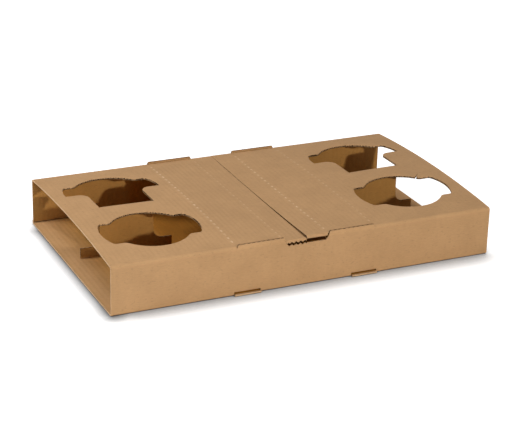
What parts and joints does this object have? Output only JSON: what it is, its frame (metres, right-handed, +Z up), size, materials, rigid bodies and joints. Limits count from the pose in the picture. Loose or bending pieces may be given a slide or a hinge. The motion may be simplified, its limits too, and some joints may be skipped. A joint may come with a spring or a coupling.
{
  "type": "corrugated cup carrier tray",
  "caption": "Open-ended sleeve of folded corrugated board with eared cup holes in its top, hanging divider flaps and push-down centre panels, for carrying drinks.",
  "frame": {"origin": "centre of the underside of the floor panel, at the middle of the whole tray's length and depth", "axes": "+X along the tray's length from one open end to the other, +Y from the front wall to the back wall, +Z up through the cup holes"},
  "size_m": [0.38, 0.2338, 0.05],
  "materials": {
    "kraft_board": "matt brown kraft liner over fine flutes"
  },
  "bodies": {
    "root": {"carrier_sleeve": "kraft_board"}
  },
  "joints": []
}
